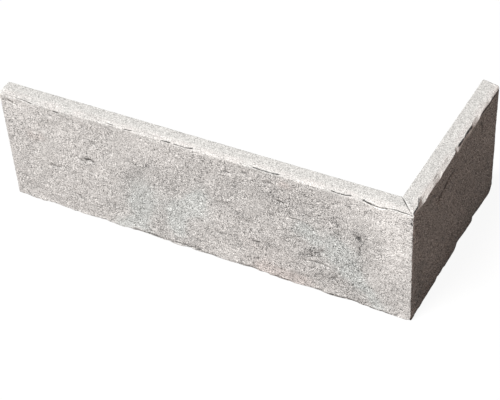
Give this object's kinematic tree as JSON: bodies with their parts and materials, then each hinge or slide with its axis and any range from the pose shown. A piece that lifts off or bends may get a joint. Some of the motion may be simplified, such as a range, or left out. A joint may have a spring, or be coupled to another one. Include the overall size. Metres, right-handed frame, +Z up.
{
  "type": "corner brick slip",
  "caption": "L-shaped brick slip that wraps the outside corner of a wall, with flat backs for bonding, a mitre seam at the corner and hand-moulded wavy arrises.",
  "frame": {"origin": "on the corner line of the wall that the slip wraps, where the backs of both legs meet, level with the bed", "axes": "+X out of the wall through the face of the short leg, with the long leg along -X; +Y into the wall, with the short leg along +Y and the face of the long leg to -Y; +Z up"},
  "size_m": [0.24, 0.115, 0.071],
  "materials": {
    "fired_clay": "matte"
  },
  "bodies": {
    "root": {"corner_slip": "fired_clay"}
  },
  "joints": []
}
